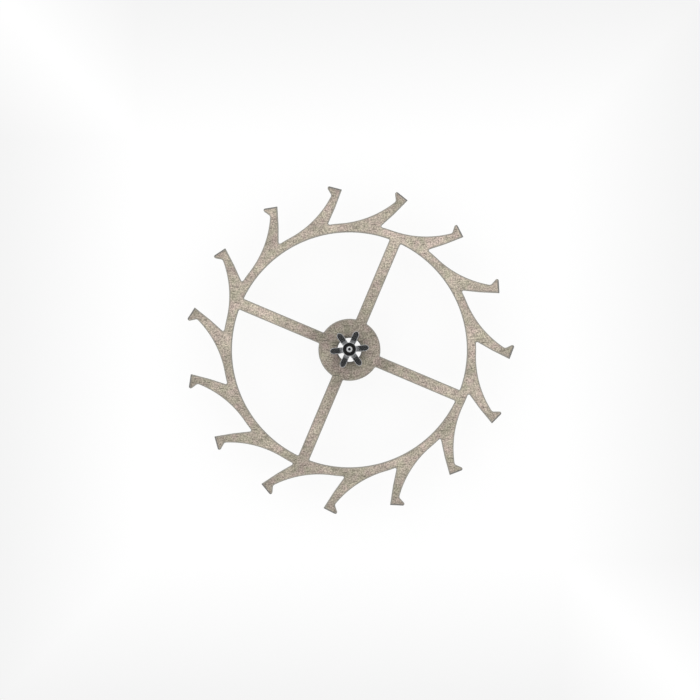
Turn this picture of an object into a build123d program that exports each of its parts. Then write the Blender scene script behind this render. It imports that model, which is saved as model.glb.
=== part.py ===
from build123d import *
import math
import os

# Escape wheel of a Swiss lever watch: a steel club-tooth wheel riveted to its pinion.
# Millimetres. The arbor is +Z, the pinion's leaves stand above the wheel, and the
# origin is the middle of the lower pivot's shoulder. Seen from above, the wheel
# turns clockwise, so each tooth leans clockwise and its heel trails.

# Wheel plate
wheel_dia = 5.0
wheel_thickness = 0.13
wheel_height = 0.36
wheel_hole_dia = 0.364
rim_width = 0.137
hub_dia = 0.941
arm_count = 4
arm_width = 0.176
arm_turn_deg = 67.08
window_corner_radius = 0.020

# Club teeth, with their angles taken from the radius through the toe
tooth_count = 15
tooth_turn_deg = 92.70
tooth_depth = 0.578
toe_drop = 0.065
impulse_face_deg = 17.5
locking_face_deg = 23.3
locking_face_length = 0.293
relief_deg = 3.3
heel_back_deg = 27.9
heel_nose_radius = 0.027
neck_depth = 0.138
neck_radius = 0.045
root_land = 0.196
root_radius = 0.025
impulse_bevel_width = 0.020
impulse_bevel_depth = 0.028

# Pinion leaves
leaf_count = 6
leaf_turn_deg = 6.0
leaf_length = 0.95
leaf_core_dia = 0.212
leaf_flank_depth = 0.124
leaf_ogive_height = 0.066
leaf_thickness = 0.095
leaf_foot_thickness = 0.083
leaf_foot_radius = 0.010
leaf_tip_radius = 0.025
undercut_dia = 0.280
undercut_depth = 0.070

# Rivet under the wheel
rivet_fit_gap = 0.002
rivet_height = 0.035
rivet_spread = 0.020

# Arbor and pivots
arbor_dia = 0.202
upper_arbor_length = 0.42
shoulder_bevel = 0.004
pivot_dia = 0.090
pivot_length = 0.160
pivot_end_radius = 0.026

# What follows from the sizes above
heel_circle = wheel_dia / 2
toe_circle = heel_circle - toe_drop
neck_circle = heel_circle - neck_depth
root_circle = heel_circle - tooth_depth
window_circle = root_circle - rim_width
hub_circle = hub_dia / 2
hole_circle = wheel_hole_dia / 2
tooth_pitch_deg = 360 / tooth_count
wheel_top = wheel_height + wheel_thickness
leaf_core = leaf_core_dia / 2
leaf_pitch_circle = leaf_core + leaf_flank_depth
leaf_tip_circle = leaf_pitch_circle + leaf_ogive_height
leaf_top = wheel_top + leaf_length
rivet_bottom = wheel_height - rivet_height
stub_circle = hole_circle - rivet_fit_gap
upper_shoulder = leaf_top + upper_arbor_length


def heading(degrees):
    """The unit vector that points along an angle in the wheel's plane."""
    return Vector(1, 0).rotate(Axis.Z, degrees)


def meet_circle(start, direction, radius):
    """Where a straight line from start first crosses a circle about the arbor."""
    along = -start.dot(direction)
    half_chord = math.sqrt(radius**2 - start.length**2 + along**2)
    inside = start.length < radius
    return start + direction * (along + half_chord if inside else along - half_chord)


def turned(point, degrees):
    """A point carried round the arbor by an angle."""
    return point.rotate(Axis.Z, degrees)


def club_tooth():
    """The open outline of one tooth, whose toe lies on +X, from the land before it to its back."""
    toe = Vector(toe_circle, 0)
    locking = heading(180 - locking_face_deg)
    locking_end = toe + locking * locking_face_length
    relief = heading(180 - locking_face_deg - relief_deg)
    front_root = meet_circle(locking_end, relief, root_circle)

    impulse = heading(90 - impulse_face_deg)
    impulse_out = heading(-impulse_face_deg)
    heel_back = heading(180 + heel_back_deg)
    heel_back_out = heading(90 + heel_back_deg)
    nose_start = toe - impulse_out * heel_nose_radius
    nose = meet_circle(nose_start, impulse, heel_circle - heel_nose_radius)
    impulse_end = nose + impulse_out * heel_nose_radius
    nose_top = nose + (impulse_out + heel_back_out).normalized() * heel_nose_radius
    nose_end = nose + heel_back_out * heel_nose_radius
    neck = meet_circle(nose_end, heel_back, neck_circle)

    # The hollow back is one arc from the neck down to the root circle, which it touches
    # where the flat land in front of the next tooth begins
    root_deg = math.degrees(math.atan2(front_root.Y, front_root.X))
    land_deg = math.degrees(root_land / root_circle)
    back_root = heading(root_deg + tooth_pitch_deg - land_deg) * root_circle
    back_span = neck - back_root
    back_radius = back_span.length**2 / (2 * back_span.dot(back_root.normalized()))
    back_centre = back_root + back_root.normalized() * back_radius
    back_middle = (neck + back_root) / 2 - back_centre
    back_middle = back_centre + back_middle.normalized() * back_radius

    # The outline starts where the tooth in front ends, at the foot of its back
    land_start = turned(back_root, -tooth_pitch_deg)
    land_middle = heading(root_deg - land_deg / 2) * root_circle
    outline = Wire(
        [
            ThreePointArc(land_start, land_middle, front_root).edge(),
            Line(front_root, locking_end).edge(),
            Line(locking_end, toe).edge(),
            Line(toe, impulse_end).edge(),
            ThreePointArc(impulse_end, nose_top, nose_end).edge(),
            Line(nose_end, neck).edge(),
            ThreePointArc(neck, back_middle, back_root).edge(),
        ]
    )
    outline = round_corner(outline, front_root, root_radius)
    return round_corner(outline, neck, neck_radius)


def round_corner(outline, corner, radius):
    """An outline with the corner at one point rounded."""
    nearest = outline.vertices().sort_by_distance(corner)[0]
    return outline.fillet_2d(radius, [nearest])


def wheel_outline():
    """The closed face inside the teeth's outline."""
    tooth = club_tooth()
    turns = [tooth_turn_deg + tooth_pitch_deg * number for number in range(tooth_count)]
    edges = [edge for turn in turns for edge in tooth.rotate(Axis.Z, turn).edges()]
    return make_face(Wire(edges))


def wheel_windows():
    """The openings between rim, hub and arms, with rounded corners."""
    arm_reach = window_circle + rim_width
    arm = Pos(arm_reach / 2, 0) * Rectangle(arm_reach, arm_width)
    arms = Sketch() + [
        Rot(0, 0, arm_turn_deg + 360 / arm_count * number) * arm for number in range(arm_count)
    ]
    openings = Circle(window_circle) - Circle(hub_circle) - arms
    return fillet(openings.vertices(), window_corner_radius)


def impulse_bevel_cutter():
    """The wedge that bevels the upper edge of the impulse face of the tooth on +X."""
    face_end = heel_nose_radius + toe_drop / math.sin(math.radians(impulse_face_deg))
    edge = Plane(
        origin=(toe_circle, 0, wheel_top),
        x_dir=heading(180 - impulse_face_deg),
        z_dir=heading(90 - impulse_face_deg),
    )
    wedge = Polygon(
        (2 * impulse_bevel_width, impulse_bevel_depth),
        (-impulse_bevel_width, impulse_bevel_depth),
        (-impulse_bevel_width, -2 * impulse_bevel_depth),
        align=None,
    )
    return extrude(edge * wedge, face_end) + extrude(edge * wedge, -toe_drop)


def escape_wheel():
    """The flat wheel, with teeth, rim, arms, hub and a bevel along each impulse face."""
    flat = wheel_outline() - wheel_windows() - Circle(hole_circle)
    plate = extrude(Pos(0, 0, wheel_height) * flat, wheel_thickness)
    upper = impulse_bevel_cutter()
    lower = mirror(upper, about=Plane.XY.offset(wheel_height + wheel_thickness / 2))
    for number in range(tooth_count):
        turn = Rot(0, 0, tooth_turn_deg + tooth_pitch_deg * number)
        plate -= turn * upper
        plate -= turn * lower
    return plate


def leaf_section():
    """The section across the leaves, with straight flanks and ogive tips."""
    foot = math.sqrt(leaf_core**2 - (leaf_foot_thickness / 2) ** 2)
    flank_start = Vector(foot, leaf_foot_thickness / 2)
    flank_end = Vector(leaf_pitch_circle, leaf_thickness / 2)
    tip = Vector(leaf_tip_circle, 0)
    flank = Line(flank_start, flank_end)
    ogive = TangentArc(flank_end, tip, tangent=flank_end - flank_start)
    upper_side = Wire([Line((0, 0), flank_start).edge(), flank.edge(), ogive.edge()])
    lower_side = upper_side.mirror(Plane.XZ)
    leaf = make_face(Wire(upper_side.edges() + lower_side.edges()))
    leaf = fillet(leaf.vertices().sort_by(Axis.X)[-1], leaf_tip_radius)
    leaves = [
        Rot(0, 0, leaf_turn_deg + 360 / leaf_count * number) * leaf for number in range(leaf_count)
    ]
    section = Circle(leaf_core) + leaves
    foot_reach = leaf_core + leaf_foot_radius
    feet = [corner for corner in section.vertices() if Vector(corner).length < foot_reach]
    return fillet(feet, leaf_foot_radius)


def turned_shape(*profile):
    """A solid of revolution about the arbor from points of radius and height."""
    return revolve(Plane.XZ * make_face(Polyline(*profile, close=True)), Axis.Z)


def leaf_blank():
    """What the lathe leaves for the leaves: the rivet, the stub in the hole, the undercut."""
    outside = leaf_tip_circle + leaf_ogive_height
    undercut = undercut_dia / 2
    undercut_bottom = leaf_top - undercut_depth
    return turned_shape(
        (0, rivet_bottom),
        (stub_circle, rivet_bottom),
        (stub_circle + rivet_spread, wheel_height - rivet_height / 2),
        (stub_circle + rivet_spread, wheel_height),
        (stub_circle, wheel_height),
        (stub_circle, wheel_top),
        (outside, wheel_top),
        (outside, leaf_top),
        (undercut, leaf_top),
        (undercut, undercut_bottom),
        (0, undercut_bottom),
    )


def pivoted_arbor():
    """The turned arbor with a shoulder and a rounded pivot at each end."""
    arbor = Pos(0, 0, upper_shoulder / 2) * Cylinder(arbor_dia / 2, upper_shoulder)
    arbor = chamfer(arbor.edges().filter_by(GeomType.CIRCLE), shoulder_bevel)
    whole_length = upper_shoulder + 2 * pivot_length
    pivots = Pos(0, 0, upper_shoulder / 2) * Cylinder(pivot_dia / 2, whole_length)
    return arbor + fillet(pivots.edges().filter_by(GeomType.CIRCLE), pivot_end_radius)


def escape_pinion():
    """The pinion: leaves cut from the blank, on the arbor with its two pivots."""
    leaves = extrude(Pos(0, 0, rivet_bottom) * leaf_section(), leaf_top - rivet_bottom)
    return (leaves & leaf_blank()) + pivoted_arbor()


def main():
    """Write each piece to its own file."""
    os.makedirs("parts", exist_ok=True)
    pieces = {"escape_wheel": escape_wheel(), "escape_pinion": escape_pinion()}
    for name, piece in pieces.items():
        export_step(piece, f"parts/{name}.step")
        size = piece.bounding_box().size
        print(f"{name}: {piece.volume:.4f} mm3, {size.X:.3f} x {size.Y:.3f} x {size.Z:.3f} mm")


main()
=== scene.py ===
"""Looks of a watch's escape wheel: a lapped club-tooth wheel riveted to a black-polished pinion.

Each mesh is drawn in millimetres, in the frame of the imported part, and is turned to metres when it
is finished.
"""

import logging
import math
from dataclasses import dataclass
from enum import Enum

import bmesh
import bpy
from bmesh.types import BMEdge, BMesh, BMFace, BMVert
from mathutils import Matrix, Vector


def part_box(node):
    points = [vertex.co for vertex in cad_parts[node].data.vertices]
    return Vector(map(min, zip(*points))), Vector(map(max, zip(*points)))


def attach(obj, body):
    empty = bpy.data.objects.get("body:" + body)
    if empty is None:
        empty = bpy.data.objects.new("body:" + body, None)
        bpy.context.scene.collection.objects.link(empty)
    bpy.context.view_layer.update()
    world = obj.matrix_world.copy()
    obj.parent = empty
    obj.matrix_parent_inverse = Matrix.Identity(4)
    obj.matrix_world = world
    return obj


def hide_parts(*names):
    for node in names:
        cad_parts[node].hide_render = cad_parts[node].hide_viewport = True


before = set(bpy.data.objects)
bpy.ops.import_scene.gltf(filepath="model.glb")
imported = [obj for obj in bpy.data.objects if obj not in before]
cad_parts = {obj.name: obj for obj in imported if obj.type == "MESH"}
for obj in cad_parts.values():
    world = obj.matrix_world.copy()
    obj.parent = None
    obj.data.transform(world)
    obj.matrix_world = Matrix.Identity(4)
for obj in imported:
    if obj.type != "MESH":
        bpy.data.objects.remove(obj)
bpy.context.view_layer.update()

log = logging.getLogger("escape_wheel")

MM = 0.001
ORIGIN = Vector((0, 0, 0))
ARBOR_AXIS = Vector((0, 0, 1))
WHITE = (1, 1, 1, 1)

# Points nearer to each other than this are one point
MERGE_MM = 0.0002
# Points nearer than this to a cutting plane lie in it
CUT_MM = 0.00002
# Faces that turn by more than this meet in a crease
CREASE_DEG = 33.0

# Most of a noise's values lie between these two
NOISE_LOW = 0.3
NOISE_HIGH = 0.7

# The sRGB standard's curve has a straight foot and follows a power above it
SRGB_FOOT_END = 0.04045
SRGB_FOOT_SLOPE = 12.92
SRGB_OFFSET = 0.055
SRGB_POWER = 2.4


class SteelSlot(Enum):
    """The names of the record's two material slots, lapped steel and polished steel."""

    LAPPED = "lapped_steel"
    POLISHED = "polished_steel"


class Side(Enum):
    """The two faces of the wheel plate, with the way that each one faces."""

    UPPER = 1
    LOWER = -1


class Rounded(Enum):
    """What a bevel rounds, in the operator's own words."""

    CORNERS = "VERTICES"
    EDGES = "EDGES"


def linear(hex_colour: str) -> tuple[float, float, float, float]:
    """Turn an sRGB colour into the linear one that a shader takes.

    Args:
        hex_colour: six hex digits, such as "B1A799".

    Returns:
        Red, green, blue and an alpha of 1, linear.
    """
    shares = [int(hex_colour[place : place + 2], 16) / 255 for place in (0, 2, 4)]
    red, green, blue = (
        share / SRGB_FOOT_SLOPE
        if share <= SRGB_FOOT_END
        else ((share + SRGB_OFFSET) / (1 + SRGB_OFFSET)) ** SRGB_POWER
        for share in shares
    )
    return red, green, blue, 1.0


def heading(degrees: float) -> Vector:
    """Return the unit vector that points along an angle in the wheel's plane."""
    return Vector((math.cos(math.radians(degrees)), math.sin(math.radians(degrees)), 0))


def meet_circle(start: Vector, direction: Vector, radius: float) -> Vector:
    """Find where a straight line first crosses a circle about the arbor.

    Args:
        start: the point that the line starts from.
        direction: the unit vector that it runs along.
        radius: the circle's radius.

    Returns:
        The crossing point.
    """
    along = -start.dot(direction)
    half_chord = math.sqrt(radius**2 - start.length_squared + along**2)
    inside = start.length < radius
    return start + direction * (along + half_chord if inside else along - half_chord)


def turn_between(centre: Vector, start: Vector, end: Vector) -> float:
    """Measure the turn about a centre from one point to another.

    Args:
        centre: the point that the turn is about.
        start: where the turn starts.
        end: where it ends.

    Returns:
        Degrees, positive anticlockwise, at most half a turn.
    """
    first, second = start - centre, end - centre
    return math.degrees(math.atan2(first.cross(second).z, first.dot(second)))


def bevel(
    mesh: BMesh, geom: list[BMVert] | list[BMEdge], offset: float, steps: int, rounded: Rounded
) -> None:
    """Round corners or edges.

    Args:
        mesh: the mesh.
        geom: the corners or the edges.
        offset: how far the rounding reaches from them.
        steps: the number of edges or faces across it.
        rounded: which of the two they are.
    """
    bmesh.ops.bevel(
        mesh,
        geom=geom,
        offset=offset,
        offset_type="OFFSET",
        segments=steps,
        profile=0.5,
        affect=rounded.value,
        material=-1,
    )


def round_corner(mesh: BMesh, corner: BMVert, radius: float, steps: int) -> None:
    """Round the corner between two edges of an outline.

    Args:
        mesh: the mesh that holds the outline.
        corner: the corner.
        radius: the radius that it gets.
        steps: the number of edges round it.
    """
    arms = [edge.other_vert(corner).co - corner.co for edge in corner.link_edges]
    offset = radius / math.tan(arms[0].angle(arms[1]) / 2)
    bevel(mesh, [corner], offset, steps, Rounded.CORNERS)


class Pen:
    """Draws a chain of lines and arcs in the wheel's plane and rounds the corners that it marks."""

    def __init__(self, mesh: BMesh, start: Vector) -> None:
        """Set the pen down.

        Args:
            mesh: the mesh that is drawn in.
            start: the first point.
        """
        self.mesh = mesh
        self.first = mesh.verts.new(start)
        self.point = self.first
        self.corners: list[tuple[BMVert, float]] = []

    def line(self, end: Vector) -> None:
        """Draw a straight line to a point."""
        start, self.point = self.point, self.mesh.verts.new(end)
        self.mesh.edges.new((start, self.point))

    def arc(self, centre: Vector, end: Vector, steps: int) -> None:
        """Draw an arc by turning the pen's point about a centre.

        Args:
            centre: the arc's centre.
            end: the point where it ends.
            steps: the number of straight edges in it.
        """
        spun = bmesh.ops.spin(
            self.mesh,
            geom=[self.point],
            cent=centre,
            axis=ARBOR_AXIS,
            dvec=ORIGIN,
            angle=math.radians(turn_between(centre, self.point.co, end)),
            steps=steps,
            use_duplicate=False,
        )
        self.point = next(part for part in spun["geom_last"] if isinstance(part, BMVert))

    def corner(self, radius: float) -> None:
        """Mark the point where the pen stands as a corner of that radius."""
        self.corners.append((self.point, radius))

    def close(self) -> None:
        """Join the last point to the first."""
        bmesh.ops.weld_verts(self.mesh, targetmap={self.point: self.first})

    def round_corners(self, steps: int) -> None:
        """Round the marked corners, each with that many edges."""
        for corner, radius in self.corners:
            round_corner(self.mesh, corner, radius, steps)


def repeat_round(mesh: BMesh, start_deg: float, count: int) -> None:
    """Turn what a mesh holds about the arbor and repeat it evenly.

    Args:
        mesh: the mesh, which holds one copy.
        start_deg: the turn of the first copy.
        count: how many copies there are in the end.
    """
    first = Matrix.Rotation(math.radians(start_deg), 3, ARBOR_AXIS)
    bmesh.ops.rotate(mesh, verts=mesh.verts, cent=ORIGIN, matrix=first)
    bmesh.ops.spin(
        mesh,
        geom=mesh.verts[:] + mesh.edges[:],
        cent=ORIGIN,
        axis=ARBOR_AXIS,
        dvec=ORIGIN,
        angle=math.tau * (count - 1) / count,
        steps=count - 1,
        use_duplicate=True,
    )
    bmesh.ops.remove_doubles(mesh, verts=mesh.verts, dist=MERGE_MM)


def add_drawing(mesh: BMesh, drawing: BMesh) -> None:
    """Copy a drawing into a mesh and free the drawing.

    Args:
        mesh: the mesh that takes the copy.
        drawing: the drawing.
    """
    held = bpy.data.meshes.new("drawing")
    drawing.to_mesh(held)
    drawing.free()
    mesh.from_mesh(held)
    bpy.data.meshes.remove(held)


def fill_flat(mesh: BMesh, edges: list[BMEdge]) -> list[BMFace]:
    """Fill closed loops of edges with triangles, leaving holes open, and return the faces."""
    filled = bmesh.ops.triangle_fill(mesh, edges=edges, normal=ARBOR_AXIS, use_beauty=True)
    return [part for part in filled["geom"] if isinstance(part, BMFace)]


def pull_out(
    mesh: BMesh, faces: list[BMFace], height: float, from_sheet: bool = False
) -> list[BMFace]:
    """Extrude faces along the arbor.

    Args:
        mesh: the mesh that holds the faces.
        faces: the faces to pull.
        height: how far, positive upwards.
        from_sheet: whether the faces are a bare sheet, which then stays as the other end.

    Returns:
        The faces at the end of the pull.
    """
    pulled = bmesh.ops.extrude_face_region(mesh, geom=faces)["geom"]
    bmesh.ops.translate(
        mesh, verts=[part for part in pulled if isinstance(part, BMVert)], vec=ARBOR_AXIS * height
    )
    if not from_sheet:
        bmesh.ops.delete(mesh, geom=faces, context="FACES")
    return [part for part in pulled if isinstance(part, BMFace)]


def inset_ends(mesh: BMesh, faces: list[BMFace], width: float) -> None:
    """Run a band of faces along the outline of flat faces, inside it.

    Args:
        mesh: the mesh that holds the faces.
        faces: the flat faces.
        width: the band's width.
    """
    bmesh.ops.inset_region(
        mesh, faces=faces, thickness=width, use_even_offset=True, use_boundary=True
    )


def round_edges(mesh: BMesh, width: float, steps: int, sharper_than_deg: float) -> None:
    """Round every edge that is sharper than an angle.

    Args:
        mesh: the closed mesh.
        width: how far the rounding reaches from the edge.
        steps: the number of faces across it.
        sharper_than_deg: the least turn between two faces that is rounded.
    """
    bmesh.ops.recalc_face_normals(mesh, faces=mesh.faces)
    least = math.radians(sharper_than_deg)
    sharp = [edge for edge in mesh.edges if edge.is_manifold and edge.calc_face_angle() > least]
    bevel(mesh, sharp, width, steps, Rounded.EDGES)


def finished_piece(
    mesh: BMesh, name: str, node: str, material: bpy.types.Material
) -> bpy.types.Object:
    """Make a piece of a mesh drawn in millimetres and let it stand for its solid.

    Args:
        mesh: the finished mesh, which is freed.
        name: the piece's name.
        node: the solid that it stands for.
        material: the finish.

    Returns:
        The piece, riding on the part's one body.
    """
    bmesh.ops.dissolve_degenerate(mesh, dist=MERGE_MM, edges=mesh.edges)
    bmesh.ops.recalc_face_normals(mesh, faces=mesh.faces)
    bmesh.ops.scale(mesh, vec=Vector((MM, MM, MM)), verts=mesh.verts)
    for face in mesh.faces:
        face.smooth = True
    data = bpy.data.meshes.new(name)
    mesh.to_mesh(data)
    mesh.free()
    data.set_sharp_from_angle(angle=math.radians(CREASE_DEG))
    data.materials.append(material)
    piece = bpy.data.objects.new(name, data)
    bpy.context.scene.collection.objects.link(piece)
    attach(piece, "root")
    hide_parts(node)
    return piece


def add_node(
    tree: bpy.types.NodeTree, kind: str, inputs: dict | None = None, **settings: object
) -> bpy.types.Node:
    """Add a node with its settings, its constants and its links.

    Args:
        tree: the tree that takes the node.
        kind: the node's type.
        inputs: for a socket's name or place, a constant or the output that is linked to it.
        settings: the node's own properties.

    Returns:
        The node.
    """
    node = tree.nodes.new(kind)
    for name, value in settings.items():
        setattr(node, name, value)
    for socket, value in (inputs or {}).items():
        if isinstance(value, bpy.types.NodeSocket):
            tree.links.new(value, node.inputs[socket])
        else:
            node.inputs[socket].default_value = value
    return node


def new_material(name: str) -> bpy.types.Material:
    """Make a node material with an empty tree.

    Args:
        name: the material's name.

    Returns:
        The material.
    """
    material = bpy.data.materials.new(name)
    material.use_nodes = True
    material.node_tree.nodes.clear()
    return material


def millimetres(tree: bpy.types.NodeTree) -> bpy.types.NodeSocket:
    """Turn the object's own coordinates to millimetres, so that scales are counts per millimetre.

    Args:
        tree: the material's tree.

    Returns:
        The coordinates.
    """
    place = add_node(tree, "ShaderNodeTexCoord").outputs["Object"]
    inputs = {0: place, "Scale": 1 / MM}
    return add_node(tree, "ShaderNodeVectorMath", inputs, operation="SCALE").outputs["Vector"]


@dataclass(frozen=True)
class Fade:
    """A factor that changes evenly over a span of some value, and stays level outside it."""

    start: float
    end: float
    before: float
    after: float

    def of(self, value: bpy.types.NodeSocket) -> dict[str, object]:
        """Return what a Map Range node takes to fade by a value."""
        span = {"From Min": self.start, "From Max": self.end}
        return {"Value": value, **span, "To Min": self.before, "To Max": self.after}


@dataclass(frozen=True)
class Mottle:
    """A noise: the size of its blots along each axis, its octaves and each finer one's share."""

    size_mm: tuple[float, float, float]
    octaves: float = 2.0
    finer_share: float = 0.5

    def lay(self, tree: bpy.types.NodeTree, place: bpy.types.NodeSocket) -> bpy.types.NodeSocket:
        """Lay the noise over a piece.

        Args:
            tree: the material's tree.
            place: coordinates in millimetres.

        Returns:
            The noise's value at each spot.
        """
        inputs = {0: place, 1: [1 / size for size in self.size_mm]}
        sized = add_node(tree, "ShaderNodeVectorMath", inputs, operation="MULTIPLY").outputs["Vector"]
        inputs = {"Vector": sized, "Scale": 1.0, "Detail": self.octaves, "Roughness": self.finer_share}
        return add_node(tree, "ShaderNodeTexNoise", inputs).outputs["Fac"]


@dataclass(frozen=True)
class LappedSteel:
    """Hardened steel lapped flat with fine grit: a matt warm grey with a close, cloudy grain.

    The lap's strokes run along X and leave faint dark streaks. The grit's pits are finer than a
    pixel, so the grain and the streaks are drawn at the width that shows. The cut edges are greyer
    than the lapped face and keep the upright lines of the shaving die; their grey is partly their own
    finish and partly painted shade, which runs onto the lapped face as a band along every edge. The
    bevels of the impulse faces are polished, and their darker colour is a painted dark reflection.
    The fades give the tone by noise value, by radius in millimetres, with painted shade round the
    pinion and on the inner arms and a darker rim and teeth, and by distance towards one side, which
    is darker.
    """

    face_hex: str = "B8AEA0"
    olive_hex: str = "B2AC9A"
    rose_hex: str = "BBACA2"
    # The cut edges' grey is partly their own finish and partly painted shade along the rounded edges
    edge_grey_and_shade_hex: str = "A19E96"
    edge_line_hex: str = "8C8981"
    # Painted dark reflection on the polished impulse bevels
    dark_reflection_hex: str = "7C7A76"
    grain: Mottle = Mottle((0.020, 0.018, 0.018), octaves=5.0, finer_share=0.55)
    stroke: Mottle = Mottle((0.15, 0.017, 0.017), octaves=4.0)
    cloud: Mottle = Mottle((0.45, 0.45, 0.45))
    tint: Mottle = Mottle((0.13, 0.13, 0.13), octaves=1.0)
    die_line: Mottle = Mottle((0.012, 0.012, 0.5), octaves=3.0)
    grain_depth_mm: float = 0.0012
    grain_bump: float = 0.5
    grain_tone: Fade = Fade(NOISE_LOW, NOISE_HIGH, 0.37, 1.63)
    stroke_tone: Fade = Fade(0.30, 0.42, 0.42, 1.035)
    cloud_tone: Fade = Fade(NOISE_LOW, NOISE_HIGH, 0.86, 1.14)
    # Painted shade: the hub darkens round the pinion, where the pinion shades it
    painted_pinion_shades: tuple[Fade, ...] = (Fade(0.20, 0.34, 0.75, 0.885), Fade(0.38, 0.48, 1.0, 0.863))
    # Painted shade: the arms are darker near the hub and lighter out towards the rim
    painted_inner_arm_shade: Fade = Fade(0.60, 1.45, 1.0, 1.44)
    rim_tones: tuple[Fade, ...] = (Fade(1.60, 1.95, 1.0, 0.925), Fade(2.15, 2.50, 1.0, 0.90))
    lean_deg: float = 244.0
    lean_tone: Fade = Fade(0.5, 2.0, 1.0, 0.855)
    roughness: Fade = Fade(NOISE_LOW, NOISE_HIGH, 0.46, 0.54)
    bevel_roughness: float = 0.22

    def make(self) -> bpy.types.Material:
        """Build the material's nodes.

        Returns:
            The material.
        """
        material = new_material("lapped_hardened_steel")
        tree = material.node_tree
        place = millimetres(tree)
        mottles = (self.grain, self.stroke, self.cloud, self.tint, self.die_line)
        grain, stroke, cloud, tint, die_line = (mottle.lay(tree, place) for mottle in mottles)
        mottling = [self.grain_tone.of(grain), self.stroke_tone.of(stroke), self.cloud_tone.of(cloud)]
        tone = self.tone(tree, place, mottling)
        inputs = {0: self.tinted_face(tree, tint), "Scale": tone}
        face = add_node(tree, "ShaderNodeVectorMath", inputs, operation="SCALE").outputs["Vector"]
        edge = add_node(tree, "ShaderNodeAttribute", attribute_name="cut_edge_and_shade").outputs["Fac"]
        polish = add_node(tree, "ShaderNodeAttribute", attribute_name="impulse_bevel").outputs["Fac"]
        # The cut edges' grey, partly painted shade, then the impulse bevels' painted dark reflection
        inputs = {0: edge, 6: face, 7: self.lined_edge(tree, die_line)}
        colour = add_node(tree, "ShaderNodeMix", inputs, data_type="RGBA").outputs[2]
        inputs = {0: polish, 6: colour, 7: linear(self.dark_reflection_hex)}
        colour = add_node(tree, "ShaderNodeMix", inputs, data_type="RGBA").outputs[2]
        rough = add_node(tree, "ShaderNodeMapRange", self.roughness.of(cloud)).outputs["Result"]
        inputs = {0: polish, 2: rough, 3: self.bevel_roughness}
        rough = add_node(tree, "ShaderNodeMix", inputs).outputs[0]
        inputs = {"Height": grain, "Strength": self.grain_bump, "Distance": self.grain_depth_mm * MM}
        normal = add_node(tree, "ShaderNodeBump", inputs).outputs["Normal"]
        inputs = {"Base Color": colour, "Metallic": 1.0, "Roughness": rough, "Normal": normal}
        shader = add_node(tree, "ShaderNodeBsdfPrincipled", inputs)
        add_node(tree, "ShaderNodeOutputMaterial", {"Surface": shader.outputs["BSDF"]})
        return material

    def tinted_face(
        self, tree: bpy.types.NodeTree, tint: bpy.types.NodeSocket
    ) -> bpy.types.NodeSocket:
        """Colour the lapped face, which wavers between olive and rose.

        Args:
            tree: the material's tree.
            tint: the noise that it wavers by.

        Returns:
            The colour.
        """
        ramp = add_node(tree, "ShaderNodeValToRGB", {"Fac": tint})
        olive, rose = ramp.color_ramp.elements
        olive.position, olive.color = NOISE_LOW, linear(self.olive_hex)
        rose.position, rose.color = NOISE_HIGH, linear(self.rose_hex)
        middle = ramp.color_ramp.elements.new((NOISE_LOW + NOISE_HIGH) / 2)
        middle.color = linear(self.face_hex)
        return ramp.outputs["Color"]

    def lined_edge(
        self, tree: bpy.types.NodeTree, die_line: bpy.types.NodeSocket
    ) -> bpy.types.NodeSocket:
        """Colour the cut edges, with the die's upright lines; their grey is partly painted shade.

        Args:
            tree: the material's tree.
            die_line: the noise that is drawn out along the arbor.

        Returns:
            The colour.
        """
        ramp = add_node(tree, "ShaderNodeValToRGB", {"Fac": die_line})
        line, ground = ramp.color_ramp.elements
        line.position, line.color = NOISE_LOW, linear(self.edge_line_hex)
        ground.position, ground.color = NOISE_HIGH, linear(self.edge_grey_and_shade_hex)
        return ramp.outputs["Color"]

    def tone(
        self, tree: bpy.types.NodeTree, place: bpy.types.NodeSocket, mottling: list[dict]
    ) -> bpy.types.NodeSocket:
        """Work out how bright each spot is, with painted shade round the pinion and on the inner arms.

        Args:
            tree: the material's tree.
            place: coordinates in millimetres.
            mottling: what the Map Range nodes take that fade by a noise.

        Returns:
            The factor for the face's colour.
        """
        inputs = {0: place, 1: (1, 1, 0)}
        flat = add_node(tree, "ShaderNodeVectorMath", inputs, operation="MULTIPLY").outputs["Vector"]
        inputs = {0: flat}
        radius = add_node(tree, "ShaderNodeVectorMath", inputs, operation="LENGTH").outputs["Value"]
        inputs = {0: flat, 1: heading(self.lean_deg)}
        lean = add_node(tree, "ShaderNodeVectorMath", inputs, operation="DOT_PRODUCT").outputs["Value"]
        tone = add_node(tree, "ShaderNodeMapRange", self.lean_tone.of(lean)).outputs["Result"]
        radial_fades = [fade.of(radius) for fade in (*self.painted_pinion_shades, self.painted_inner_arm_shade, *self.rim_tones)]
        for shading in mottling + radial_fades:
            factor = add_node(tree, "ShaderNodeMapRange", shading).outputs["Result"]
            inputs = {0: tone, 1: factor}
            tone = add_node(tree, "ShaderNodeMath", inputs, operation="MULTIPLY").outputs["Value"]
        return tone


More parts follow.
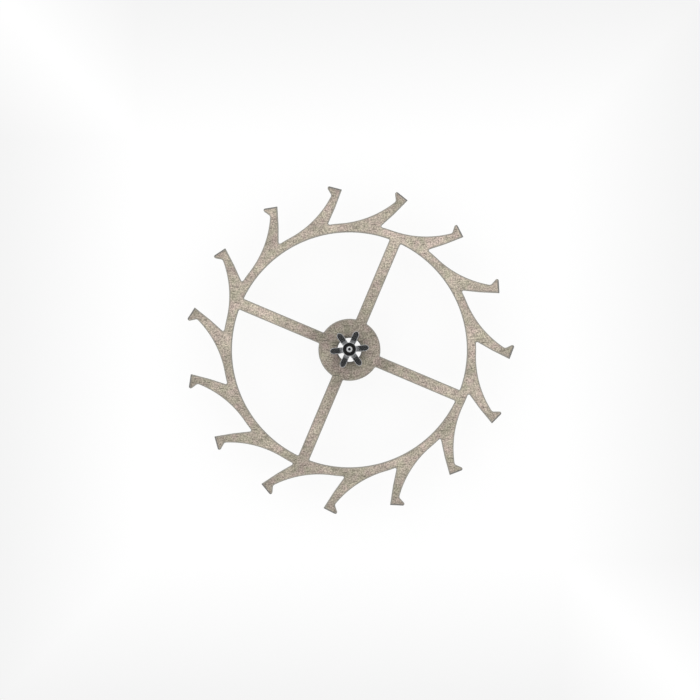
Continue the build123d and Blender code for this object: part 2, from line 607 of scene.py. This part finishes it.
@dataclass(frozen=True)
class BlackPolishedSteel:
    """Hardened steel polished on a tin block: a mirror, black or white by what it faces.

    The pivots and shoulders have the closest polish. The leaves are polished by a wheel and keep a
    faint haze, and the undercut in their ends is left as the graver turned it.
    """

    face_hex: str = "BCBDBE"
    shade_hex: str = "B2B4B6"
    cloud: Mottle = Mottle((0.05, 0.05, 0.05), octaves=3.0)
    pivot_roughness: float = 0.08
    leaf_roughness: float = 0.175
    undercut_roughness: float = 0.34
    haze: Fade = Fade(NOISE_LOW, NOISE_HIGH, -0.008, 0.008)

    def make(self) -> bpy.types.Material:
        """Build the material's nodes.

        Returns:
            The material.
        """
        material = new_material("black_polished_steel")
        tree = material.node_tree
        cloud = self.cloud.lay(tree, millimetres(tree))
        ramp = add_node(tree, "ShaderNodeValToRGB", {"Fac": cloud})
        shade, face = ramp.color_ramp.elements
        shade.position, shade.color = NOISE_LOW, linear(self.shade_hex)
        face.position, face.color = NOISE_HIGH, linear(self.face_hex)
        leaf = add_node(tree, "ShaderNodeAttribute", attribute_name="leaf").outputs["Fac"]
        undercut = add_node(tree, "ShaderNodeAttribute", attribute_name="undercut").outputs["Fac"]
        inputs = {0: leaf, 2: self.pivot_roughness, 3: self.leaf_roughness}
        rough = add_node(tree, "ShaderNodeMix", inputs).outputs[0]
        inputs = {0: undercut, 2: rough, 3: self.undercut_roughness}
        rough = add_node(tree, "ShaderNodeMix", inputs).outputs[0]
        haze = add_node(tree, "ShaderNodeMapRange", self.haze.of(cloud)).outputs["Result"]
        inputs = {0: rough, 1: haze}
        rough = add_node(tree, "ShaderNodeMath", inputs, operation="ADD").outputs["Value"]
        inputs = {"Base Color": ramp.outputs["Color"], "Metallic": 1.0, "Roughness": rough}
        shader = add_node(tree, "ShaderNodeBsdfPrincipled", inputs)
        add_node(tree, "ShaderNodeOutputMaterial", {"Surface": shader.outputs["BSDF"]})
        return material


@dataclass
class ClubToothWheel:
    """The wheel plate: fifteen club teeth, rim, four arms, hub and hole. Millimetres and degrees.

    Steps count the straight edges in a curve. The edge band is the strip of faces inside the
    plate's outline that the rounded edges need. A face is a lapped one where its normal has at
    least the flat normal's share along the arbor.
    """

    bottom: float
    top: float
    heel_circle: float = 2.5
    hole_circle: float = 0.182
    rim_width: float = 0.137
    hub_circle: float = 0.4705
    arm_count: int = 4
    arm_width: float = 0.176
    arm_turn_deg: float = 67.08
    window_corner_radius: float = 0.020
    tooth_count: int = 15
    tooth_turn_deg: float = 92.70
    tooth_depth: float = 0.578
    toe_drop: float = 0.065
    impulse_face_deg: float = 17.5
    locking_face_deg: float = 23.3
    locking_face_length: float = 0.293
    relief_deg: float = 3.3
    heel_back_deg: float = 27.9
    heel_nose_radius: float = 0.027
    neck_depth: float = 0.138
    neck_radius: float = 0.045
    root_land: float = 0.196
    root_radius: float = 0.025
    impulse_bevel_width: float = 0.020
    impulse_bevel_depth: float = 0.028
    edge_band: float = 0.026
    edge_radius: float = 0.006
    edge_steps: int = 3
    sharp_edge_deg: float = 28.0
    flat_normal_z: float = 0.999
    corner_steps: int = 5
    nose_steps: int = 7
    land_steps: int = 4
    back_steps: int = 18
    rim_steps: int = 54
    hub_steps: int = 18
    hole_steps: int = 96

    @property
    def toe_circle(self) -> float:
        """Return the radius that the toes reach."""
        return self.heel_circle - self.toe_drop

    @property
    def root_circle(self) -> float:
        """Return the radius at the roots of the teeth."""
        return self.heel_circle - self.tooth_depth

    @property
    def window_circle(self) -> float:
        """Return the rim's inner radius."""
        return self.root_circle - self.rim_width

    @property
    def pitch_deg(self) -> float:
        """Return the turn from one tooth to the next."""
        return 360 / self.tooth_count

    def draw_teeth(self) -> BMesh:
        """Draw one tooth, whose toe lies on +X, from the land before it to its back, and repeat it.

        Returns:
            The closed outline of the wheel.
        """
        toe = Vector((self.toe_circle, 0, 0))
        locking_end = toe + heading(180 - self.locking_face_deg) * self.locking_face_length
        relief = heading(180 - self.locking_face_deg - self.relief_deg)
        front_root = meet_circle(locking_end, relief, self.root_circle)

        impulse_out = heading(-self.impulse_face_deg)
        heel_back_out = heading(90 + self.heel_back_deg)
        nose = meet_circle(
            toe - impulse_out * self.heel_nose_radius,
            heading(90 - self.impulse_face_deg),
            self.heel_circle - self.heel_nose_radius,
        )
        nose_end = nose + heel_back_out * self.heel_nose_radius
        neck_circle = self.heel_circle - self.neck_depth
        neck = meet_circle(nose_end, heading(180 + self.heel_back_deg), neck_circle)

        land_deg = math.degrees(self.root_land / self.root_circle)
        root_deg = turn_between(ORIGIN, toe, front_root)
        back_out = heading(root_deg + self.pitch_deg - land_deg)
        back_root = back_out * self.root_circle
        back_span = neck - back_root
        back_radius = back_span.length_squared / (2 * back_span.dot(back_out))

        outline = bmesh.new()
        pen = Pen(outline, heading(root_deg - land_deg) * self.root_circle)
        pen.arc(ORIGIN, front_root, self.land_steps)
        pen.corner(self.root_radius)
        pen.line(locking_end)
        pen.line(toe)
        pen.line(nose + impulse_out * self.heel_nose_radius)
        pen.arc(nose, nose_end, self.nose_steps)
        pen.line(neck)
        pen.corner(self.neck_radius)
        pen.arc(back_root + back_out * back_radius, back_root, self.back_steps)
        pen.round_corners(self.corner_steps)
        repeat_round(outline, self.tooth_turn_deg, self.tooth_count)
        return outline

    def draw_windows(self) -> BMesh:
        """Draw the window that follows an arm on +X, with rounded corners, and repeat it.

        Returns:
            The outlines of the openings between hub, rim and arms.
        """
        half_arm = self.arm_width / 2
        across = 360 / self.arm_count
        next_arm = Matrix.Rotation(math.radians(across), 3, ARBOR_AXIS)
        hub_reach = math.sqrt(self.hub_circle**2 - half_arm**2)
        rim_reach = math.sqrt(self.window_circle**2 - half_arm**2)
        outline = bmesh.new()
        pen = Pen(outline, Vector((hub_reach, half_arm, 0)))
        pen.corner(self.window_corner_radius)
        pen.line(Vector((rim_reach, half_arm, 0)))
        pen.corner(self.window_corner_radius)
        pen.arc(ORIGIN, next_arm @ Vector((rim_reach, -half_arm, 0)), self.rim_steps)
        pen.corner(self.window_corner_radius)
        pen.line(next_arm @ Vector((hub_reach, -half_arm, 0)))
        pen.corner(self.window_corner_radius)
        pen.arc(ORIGIN, pen.first.co, self.hub_steps)
        pen.close()
        pen.round_corners(self.corner_steps)
        repeat_round(outline, self.arm_turn_deg, self.arm_count)
        return outline

    def bevel_impulse_edge(self, plate: BMesh, tooth_deg: float, side: Side) -> None:
        """Cut the bevel along one edge of one tooth's impulse face.

        Args:
            plate: the wheel plate.
            tooth_deg: the angle at which the tooth's toe lies.
            side: the face of the plate that the edge is on.
        """
        up = ARBOR_AXIS * side.value
        toe = heading(tooth_deg) * self.toe_circle
        toe.z = self.top if side is Side.UPPER else self.bottom
        out = heading(tooth_deg - self.impulse_face_deg)
        through = toe - out * self.impulse_bevel_width
        normal = (out * self.impulse_bevel_depth + up * self.impulse_bevel_width).normalized()
        head = [vertex for vertex in plate.verts if (vertex.co - toe).length < self.tooth_depth]
        cut_off = [vertex for vertex in head if (vertex.co - through).dot(normal) > 0]
        faces = {face for vertex in cut_off for face in vertex.link_faces}
        edges = {edge for face in faces for edge in face.edges}
        corners = {vertex for face in faces for vertex in face.verts}
        cut = bmesh.ops.bisect_plane(
            plate,
            geom=[*corners, *edges, *faces],
            dist=CUT_MM,
            plane_co=through,
            plane_no=normal,
            clear_outer=True,
        )
        rim = [part for part in cut["geom_cut"] if isinstance(part, BMEdge)]
        # These faces take the polished roughness and the painted dark reflection
        polished = plate.faces.layers.float["impulse_bevel"]
        for face in bmesh.ops.holes_fill(plate, edges=rim, sides=0)["faces"]:
            face[polished] = 1.0

    def mark_cut_edges(self, plate: BMesh) -> None:
        """Give each point that isn't inside a lapped face the value 1, for the finish to read.

        Args:
            plate: the wheel plate.
        """
        # The value fades across the edge band, where the finish paints a band of shade along every edge
        layer = plate.verts.layers.float.new("cut_edge_and_shade")
        plate.normal_update()
        for vertex in plate.verts:
            cut = any(abs(face.normal.z) < self.flat_normal_z for face in vertex.link_faces)
            vertex[layer] = float(cut)

    def build(self, finish: LappedSteel) -> bpy.types.Object:
        """Build the wheel and dress it.

        Args:
            finish: the plate's finish.

        Returns:
            The wheel.
        """
        plate = bmesh.new()
        add_drawing(plate, self.draw_teeth())
        add_drawing(plate, self.draw_windows())
        bmesh.ops.create_circle(plate, radius=self.hole_circle, segments=self.hole_steps)
        bmesh.ops.translate(plate, verts=plate.verts, vec=ARBOR_AXIS * self.bottom)
        pull_out(plate, fill_flat(plate, plate.edges[:]), self.top - self.bottom, from_sheet=True)
        bmesh.ops.recalc_face_normals(plate, faces=plate.faces)
        for side in Side:
            lapped = [face for face in plate.faces if face.normal.z * side.value > self.flat_normal_z]
            inset_ends(plate, lapped, self.edge_band)
        round_edges(plate, self.edge_radius, self.edge_steps, self.sharp_edge_deg)
        plate.faces.layers.float.new("impulse_bevel")
        for number in range(self.tooth_count):
            tooth_deg = self.tooth_turn_deg + self.pitch_deg * number
            for side in Side:
                self.bevel_impulse_edge(plate, tooth_deg, side)
        self.mark_cut_edges(plate)
        return finished_piece(
            plate, "club_tooth_wheel", "escape_wheel", finish.make()
        )


@dataclass
class LeafPinion:
    """The pinion: six leaves, arbor, shoulders, pivots and riveted stubs. Millimetres and degrees.

    Steps count the straight edges in a curve. Points of the leaves' section that lie nearer than
    the shortest edge are merged, and the leaf ends are rounded where their faces turn by more than
    the end edge's angle.
    """

    bottom: float
    top: float
    wheel_bottom: float
    wheel_top: float
    leaf_count: int = 6
    leaf_turn_deg: float = 6.0
    leaf_length: float = 0.95
    leaf_core: float = 0.106
    leaf_flank_depth: float = 0.124
    leaf_ogive_height: float = 0.066
    leaf_thickness: float = 0.095
    leaf_foot_thickness: float = 0.083
    leaf_foot_radius: float = 0.010
    leaf_tip_radius: float = 0.025
    undercut_circle: float = 0.140
    undercut_depth: float = 0.070
    undercut_outer_radius: float = 0.010
    undercut_inner_radius: float = 0.006
    stub_circle: float = 0.180
    rivet_height: float = 0.035
    rivet_spread: float = 0.020
    arbor_radius: float = 0.101
    shoulder_bevel: float = 0.004
    pivot_radius: float = 0.045
    pivot_length: float = 0.160
    pivot_end_radius: float = 0.026
    edge_band: float = 0.010
    edge_radius: float = 0.005
    edge_steps: int = 4
    core_steps: int = 1
    ogive_steps: int = 6
    crossing_steps: int = 4
    corner_steps: int = 4
    arbor_steps: int = 72
    pivot_end_steps: int = 10
    shortest_edge: float = 0.0015
    end_edge_deg: float = 57.0

    @property
    def pitch_circle(self) -> float:
        """Return the radius at the ends of the leaves' flanks."""
        return self.leaf_core + self.leaf_flank_depth

    @property
    def tip_circle(self) -> float:
        """Return the radius that the leaves reach."""
        return self.pitch_circle + self.leaf_ogive_height

    @property
    def leaf_top(self) -> float:
        """Return the height of the leaves' upper ends."""
        return self.wheel_top + self.leaf_length

    @property
    def undercut_floor(self) -> float:
        """Return the height of the undercut's floor."""
        return self.leaf_top - self.undercut_depth

    def draw_leaves(self) -> BMesh:
        """Draw half a leaf on +X, mirror it and repeat it, crossed at the undercut and at the stub.

        Returns:
            The section's outline, with an arc across each leaf at the two radii.
        """
        foot_half = self.leaf_foot_thickness / 2
        foot = Vector((math.sqrt(self.leaf_core**2 - foot_half**2), foot_half, 0))
        flank_end = Vector((self.pitch_circle, self.leaf_thickness / 2, 0))
        flank = (flank_end - foot).normalized()
        inwards = Vector((flank.y, -flank.x, 0))
        tip = Vector((self.tip_circle, 0, 0))
        ogive_span = tip - flank_end
        ogive_radius = ogive_span.length_squared / (2 * ogive_span.dot(inwards))

        outline = bmesh.new()
        pen = Pen(outline, heading(180 / self.leaf_count) * self.leaf_core)
        pen.arc(ORIGIN, foot, self.core_steps)
        pen.corner(self.leaf_foot_radius)
        for radius in (self.undercut_circle, self.stub_circle):
            crossing = meet_circle(foot, flank, radius)
            pen.line(crossing)
            across = Pen(outline, crossing)
            across.arc(ORIGIN, Vector((radius, 0, 0)), self.crossing_steps)
        pen.line(flank_end)
        pen.arc(flank_end + inwards * ogive_radius, tip, self.ogive_steps)
        pen.round_corners(self.corner_steps)
        bmesh.ops.mirror(
            outline,
            geom=outline.verts[:] + outline.edges[:],
            matrix=Matrix.Identity(4),
            merge_dist=MERGE_MM,
            axis="Y",
        )
        bmesh.ops.remove_doubles(outline, verts=outline.verts, dist=MERGE_MM)
        # The tip is sharp where the two halves meet
        point = min(outline.verts, key=lambda vertex: (vertex.co - tip).length)
        round_corner(outline, point, self.leaf_tip_radius, self.corner_steps)
        bmesh.ops.remove_doubles(outline, verts=outline.verts, dist=self.shortest_edge)
        repeat_round(outline, self.leaf_turn_deg, self.leaf_count)
        return outline

    def ring_edges(self, mesh: BMesh, inner: float, outer: float) -> list[BMEdge]:
        """Find the edges between two radii.

        Args:
            mesh: the drawn section.
            inner: the least radius.
            outer: the greatest radius.

        Returns:
            The edges that lie between the radii or along them.
        """
        low, high = inner - MERGE_MM, outer + MERGE_MM
        return [edge for edge in mesh.edges if all(low < v.co.xy.length < high for v in edge.verts)]

    def spin_profile(self, mesh: BMesh, profile: list[tuple[float, float]]) -> None:
        """Turn a profile about the arbor, as a lathe does.

        Args:
            mesh: the mesh that takes the turned surface.
            profile: points of radius and height.
        """
        chain = [mesh.verts.new((radius, 0, height)) for radius, height in profile]
        edges = [mesh.edges.new(pair) for pair in zip(chain, chain[1:])]
        bmesh.ops.spin(
            mesh,
            geom=chain + edges,
            cent=ORIGIN,
            axis=ARBOR_AXIS,
            dvec=ORIGIN,
            angle=math.tau,
            steps=self.arbor_steps,
            use_merge=True,
        )

    def pivot_profile(self, root: float, shoulder: float, end: float) -> list[tuple[float, float]]:
        """Work out the profile of one end of the arbor.

        Args:
            root: the height at which the arbor leaves the leaves.
            shoulder: the height of the pivot's shoulder.
            end: the height of the pivot's end.

        Returns:
            Points of radius and height, from the leaves to the axis.
        """
        way = math.copysign(1, end - shoulder)
        flat_end = self.pivot_radius - self.pivot_end_radius
        quarter = [90 * step / self.pivot_end_steps for step in range(self.pivot_end_steps + 1)]
        rounded = [
            (
                flat_end + self.pivot_end_radius * math.cos(math.radians(turn)),
                end - way * self.pivot_end_radius * (1 - math.sin(math.radians(turn))),
            )
            for turn in quarter
        ]
        return [
            (self.arbor_radius, root),
            (self.arbor_radius, shoulder - way * self.shoulder_bevel),
            (self.arbor_radius - self.shoulder_bevel, shoulder),
            (self.pivot_radius, shoulder),
            *rounded,
            (0, end),
        ]

    def open_bore(self, mesh: BMesh) -> None:
        """Take out the wall between the leaves' core and the arbor, which are one piece of steel.

        Args:
            mesh: the pinion's mesh.
        """
        low, high = self.arbor_radius - MERGE_MM, self.arbor_radius + MERGE_MM
        wall = [f for f in mesh.faces if all(low < v.co.xy.length < high for v in f.verts)]
        bmesh.ops.delete(mesh, geom=wall, context="FACES")

    def hollow_foot(self, mesh: BMesh, circle: float, radius: float) -> None:
        """Round the inner corner where a wall stands on the floor of the undercut.

        Args:
            mesh: the pinion's mesh.
            circle: the radius of the wall.
            radius: the radius of the rounding.
        """
        floor = self.undercut_floor
        ring = self.ring_edges(mesh, circle, circle)
        foot = [edge for edge in ring if all(abs(v.co.z - floor) < MERGE_MM for v in edge.verts)]
        bevel(mesh, foot, radius, self.edge_steps, Rounded.EDGES)

    def mark_work(self, mesh: BMesh) -> None:
        """Mark the faces of the leaves and of the undercut in their ends, for the finish to read.

        Args:
            mesh: the pinion's mesh.
        """
        leaf = mesh.faces.layers.float.new("leaf")
        undercut = mesh.faces.layers.float.new("undercut")
        for face in mesh.faces:
            middle = face.calc_center_median()
            radius = middle.xy.length
            face[leaf] = float(radius > self.arbor_radius and middle.z < self.leaf_top + MERGE_MM)
            inside = self.arbor_radius < radius < self.undercut_circle - MERGE_MM
            sunk = self.undercut_floor - MERGE_MM < middle.z < self.leaf_top - MERGE_MM
            face[undercut] = float(inside and sunk)

    def finish_leaf_ends(self, mesh: BMesh, ends: list[BMFace]) -> None:
        """Round the outline of the polished leaf ends.

        Args:
            mesh: the pinion's mesh.
            ends: the faces at the leaves' upper ends.
        """
        outline = {edge for face in ends for edge in face.edges}
        inset_ends(mesh, ends, self.edge_band)
        bmesh.ops.recalc_face_normals(mesh, faces=mesh.faces)
        least = math.radians(self.end_edge_deg)
        sharp = [edge for edge in outline if edge.is_valid and edge.calc_face_angle(0) > least]
        bevel(mesh, sharp, self.edge_radius, self.edge_steps, Rounded.EDGES)

    def spread_rivet(self, mesh: BMesh, stub: list[BMFace]) -> None:
        """Pull the stubs down through the wheel and spread their ends under it.

        Args:
            mesh: the pinion's mesh.
            stub: the faces of the stub at the wheel's upper face.
        """
        stub = pull_out(mesh, stub, self.wheel_bottom - self.wheel_top)
        spread = 1 + self.rivet_spread / self.stub_circle
        half = self.rivet_height / 2
        for drop, stretch in ((0, spread), (half, 1), (half, 1 / spread)):
            stub = pull_out(mesh, stub, -drop)
            corners = {vertex for face in stub for vertex in face.verts}
            ends = [v for v in corners if v.co.xy.length > self.stub_circle - MERGE_MM]
            bmesh.ops.scale(mesh, vec=Vector((stretch, stretch, 1)), verts=ends)

    def turn_arbor(self, mesh: BMesh) -> None:
        """Turn the two ends of the arbor, each with its shoulder and its pivot.

        Args:
            mesh: the pinion's mesh.
        """
        upper_shoulder = self.top - self.pivot_length
        lower_shoulder = self.bottom + self.pivot_length
        rivet_bottom = self.wheel_bottom - self.rivet_height
        self.spin_profile(mesh, self.pivot_profile(self.undercut_floor, upper_shoulder, self.top))
        self.spin_profile(mesh, self.pivot_profile(rivet_bottom, lower_shoulder, self.bottom))
        bmesh.ops.remove_doubles(mesh, verts=mesh.verts, dist=MERGE_MM)

    def build(self, finish: BlackPolishedSteel) -> bpy.types.Object:
        """Build the pinion and dress it.

        Args:
            finish: the pinion's finish.

        Returns:
            The pinion.
        """
        mesh = bmesh.new()
        add_drawing(mesh, self.draw_leaves())
        bmesh.ops.create_circle(mesh, radius=self.arbor_radius, segments=self.arbor_steps)
        bmesh.ops.translate(mesh, verts=mesh.verts, vec=ARBOR_AXIS * self.wheel_top)
        core = fill_flat(mesh, self.ring_edges(mesh, self.arbor_radius, self.undercut_circle))
        seat = fill_flat(mesh, self.ring_edges(mesh, self.undercut_circle, self.stub_circle))
        leaves = fill_flat(mesh, self.ring_edges(mesh, self.stub_circle, self.tip_circle))
        rise = self.undercut_floor - self.wheel_top
        risen = pull_out(mesh, core + seat + leaves, rise, from_sheet=True)
        outer = [f for f in risen if f.calc_center_median().xy.length > self.undercut_circle]
        ends = pull_out(mesh, outer, self.undercut_depth)
        self.spread_rivet(mesh, core + seat)
        self.open_bore(mesh)
        self.turn_arbor(mesh)
        self.finish_leaf_ends(mesh, ends)
        self.hollow_foot(mesh, self.arbor_radius, self.undercut_inner_radius)
        self.hollow_foot(mesh, self.undercut_circle, self.undercut_outer_radius)
        self.mark_work(mesh)
        return finished_piece(
            mesh, "leaf_pinion", "escape_pinion", finish.make()
        )


@dataclass
class LightTent:
    """A white tent round the part, darker low down, with a round opening over it for the camera."""

    zenith: float = 1.3
    horizon: float = 0.72
    horizon_height: float = 0.6
    opening: float = 0.02
    opening_deg: float = 13.0
    opening_soft_deg: float = 3.0
    key_power: float = 0.004
    key_size: float = 0.05
    key_place: tuple[float, float, float] = (-0.04, 0.05, 0.08)

    def build(self) -> None:
        """Build the tent as the world's light, and one soft lamp in it."""
        world = bpy.data.worlds.new("light_tent")
        bpy.context.scene.world = world
        world.use_nodes = True
        tree = world.node_tree
        tree.nodes.clear()
        way = add_node(tree, "ShaderNodeTexCoord").outputs["Generated"]
        height = add_node(tree, "ShaderNodeSeparateXYZ", {"Vector": way}).outputs["Z"]
        outer = math.cos(math.radians(self.opening_deg + self.opening_soft_deg))
        inner = math.cos(math.radians(self.opening_deg))
        fades = (
            Fade(0.0, self.horizon_height, self.horizon, self.zenith),
            Fade(outer, inner, 1.0, self.opening),
        )
        wall, opening = (
            add_node(
                tree, "ShaderNodeMapRange", fade.of(height), interpolation_type="SMOOTHSTEP"
            ).outputs["Result"]
            for fade in fades
        )
        inputs = {0: wall, 1: opening}
        light = add_node(tree, "ShaderNodeMath", inputs, operation="MULTIPLY").outputs["Value"]
        tent = add_node(tree, "ShaderNodeBackground", {"Color": WHITE, "Strength": light})
        add_node(tree, "ShaderNodeOutputWorld", {"Surface": tent.outputs["Background"]})
        self.hang_lamp()

    def hang_lamp(self) -> None:
        """Hang the soft lamp, aimed at the part."""
        lamp = bpy.data.lights.new("soft_lamp", "AREA")
        lamp.shape = "SQUARE"
        lamp.size = self.key_size
        lamp.energy = self.key_power
        held = bpy.data.objects.new("soft_lamp", lamp)
        held.location = self.key_place
        held.rotation_euler = (-Vector(self.key_place)).to_track_quat("-Z", "Y").to_euler()
        bpy.context.scene.collection.objects.link(held)


@dataclass
class WhiteTable:
    """A plain matt white table under the lower pivot, with painted shade away from its middle."""

    level: float
    half_width: float = 0.15
    white_hex: str = "F2F2F2"
    plain_half_mm: float = 3.231
    diagonal_half_mm: float = 5.4
    fade_mm: float = 2.078
    dimmest: float = 0.905
    own_white: float = 0.85

    def build(self) -> bpy.types.Object:
        """Build the table and dress it.

        Returns:
            The table.
        """
        mesh = bmesh.new()
        bmesh.ops.create_grid(mesh, x_segments=1, y_segments=1, size=self.half_width)
        bmesh.ops.translate(mesh, verts=mesh.verts, vec=ARBOR_AXIS * self.level)
        data = bpy.data.meshes.new("white_table")
        mesh.to_mesh(data)
        mesh.free()
        data.materials.append(self.make())
        table = bpy.data.objects.new("white_table", data)
        bpy.context.scene.collection.objects.link(table)
        return table

    def painted_corner_shade(self, tree: bpy.types.NodeTree) -> bpy.types.NodeSocket:
        """Paint shade on the table away from its middle, and along one diagonal further out.

        Args:
            tree: the material's tree.

        Returns:
            The factor for its white.
        """
        place = add_node(tree, "ShaderNodeSeparateXYZ", {"Vector": millimetres(tree)})
        x, y = place.outputs["X"], place.outputs["Y"]
        far_x = add_node(tree, "ShaderNodeMath", {0: x}, operation="ABSOLUTE").outputs["Value"]
        far_y = add_node(tree, "ShaderNodeMath", {0: y}, operation="ABSOLUTE").outputs["Value"]
        inputs = {0: far_x, 1: far_y}
        far = add_node(tree, "ShaderNodeMath", inputs, operation="MAXIMUM").outputs["Value"]
        inputs = {0: x, 1: y}
        across = add_node(tree, "ShaderNodeMath", inputs, operation="ADD").outputs["Value"]
        across = add_node(tree, "ShaderNodeMath", {0: across}, operation="ABSOLUTE").outputs["Value"]
        spans = ((far, self.plain_half_mm), (far, self.diagonal_half_mm), (across, 0.0))
        outside, beyond, off = (
            add_node(
                tree, "ShaderNodeMapRange", Fade(start, start + self.fade_mm, 0.0, 1.0).of(distance)
            ).outputs["Result"]
            for distance, start in spans
        )
        inputs = {0: off, 1: beyond}
        off = add_node(tree, "ShaderNodeMath", inputs, operation="MAXIMUM").outputs["Value"]
        inputs = {0: outside, 1: off}
        share = add_node(tree, "ShaderNodeMath", inputs, operation="MINIMUM").outputs["Value"]
        inputs = Fade(0.0, 1.0, 1.0, self.dimmest).of(share)
        return add_node(tree, "ShaderNodeMapRange", inputs).outputs["Result"]

    def make(self) -> bpy.types.Material:
        """Build the table's material, which shows about white to the camera.

        Returns:
            The material.
        """
        material = new_material("matt_white_card")
        tree = material.node_tree
        tone = self.painted_corner_shade(tree)
        inputs = {0: linear(self.white_hex)[:3], "Scale": tone}
        colour = add_node(tree, "ShaderNodeVectorMath", inputs, operation="SCALE").outputs["Vector"]
        card = add_node(tree, "ShaderNodeBsdfDiffuse", {"Color": colour})
        white = add_node(tree, "ShaderNodeEmission", {"Color": WHITE, "Strength": tone})
        paths = add_node(tree, "ShaderNodeLightPath").outputs
        seen = paths["Is Camera Ray"]
        for path in (paths["Is Glossy Ray"], paths["Is Transmission Ray"]):
            inputs = {0: seen, 1: path}
            seen = add_node(tree, "ShaderNodeMath", inputs, operation="MAXIMUM").outputs["Value"]
        inputs = {0: seen, 1: self.own_white}
        seen = add_node(tree, "ShaderNodeMath", inputs, operation="MULTIPLY").outputs["Value"]
        inputs = {0: seen, 1: card.outputs["BSDF"], 2: white.outputs["Emission"]}
        both = add_node(tree, "ShaderNodeMixShader", inputs)
        add_node(tree, "ShaderNodeOutputMaterial", {"Surface": both.outputs["Shader"]})
        return material


@dataclass
class CopyStand:
    """The camera, which looks down along the arbor from the pinion's side, leaning a little.

    The lean shows the pivot's end a third of a pixel higher in the picture than the leaves' ends.
    """

    focus_height: float
    frame_width: float = 10.619 * MM
    aim: tuple[float, float] = (0.0088 * MM, -0.0030 * MM)
    lean_deg: float = 0.32
    lens_mm: float = 200.0
    sensor_mm: float = 36.0
    clip_start: float = 0.001
    clip_end: float = 1.0

    def build(self) -> bpy.types.Object:
        """Build the camera and make it the scene's.

        Returns:
            The camera.
        """
        lens = bpy.data.cameras.new("camera")
        lens.lens = self.lens_mm
        lens.sensor_width = self.sensor_mm
        lens.clip_start = self.clip_start
        lens.clip_end = self.clip_end
        camera = bpy.data.objects.new("camera", lens)
        distance = self.frame_width * self.lens_mm / self.sensor_mm
        lean = Matrix.Rotation(math.radians(self.lean_deg), 3, "X")
        camera.location = Vector((*self.aim, self.focus_height)) + lean @ (ARBOR_AXIS * distance)
        camera.rotation_euler = lean.to_euler()
        bpy.context.scene.collection.objects.link(camera)
        bpy.context.scene.camera = camera
        return camera


def main() -> None:
    """Build the part and its stage."""
    logging.basicConfig(level=logging.INFO, format="%(name)s %(message)s")
    wheel_low, wheel_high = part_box("escape_wheel")
    pinion_low, pinion_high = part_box("escape_pinion")
    wheel = ClubToothWheel(bottom=wheel_low.z / MM, top=wheel_high.z / MM)
    pinion = LeafPinion(
        bottom=pinion_low.z / MM, top=pinion_high.z / MM, wheel_bottom=wheel.bottom, wheel_top=wheel.top
    )
    table = WhiteTable(level=pinion_low.z)
    for piece in (wheel.build(LappedSteel()), pinion.build(BlackPolishedSteel()), table.build()):
        log.info("%s: %d faces in %s", piece.name, len(piece.data.polygons), piece.active_material.name)
    LightTent().build()
    CopyStand(focus_height=wheel_high.z).build()
    bpy.context.scene.view_settings.view_transform = "Standard"
    bpy.context.view_layer.update()


if __name__ == "__main__":
    main()
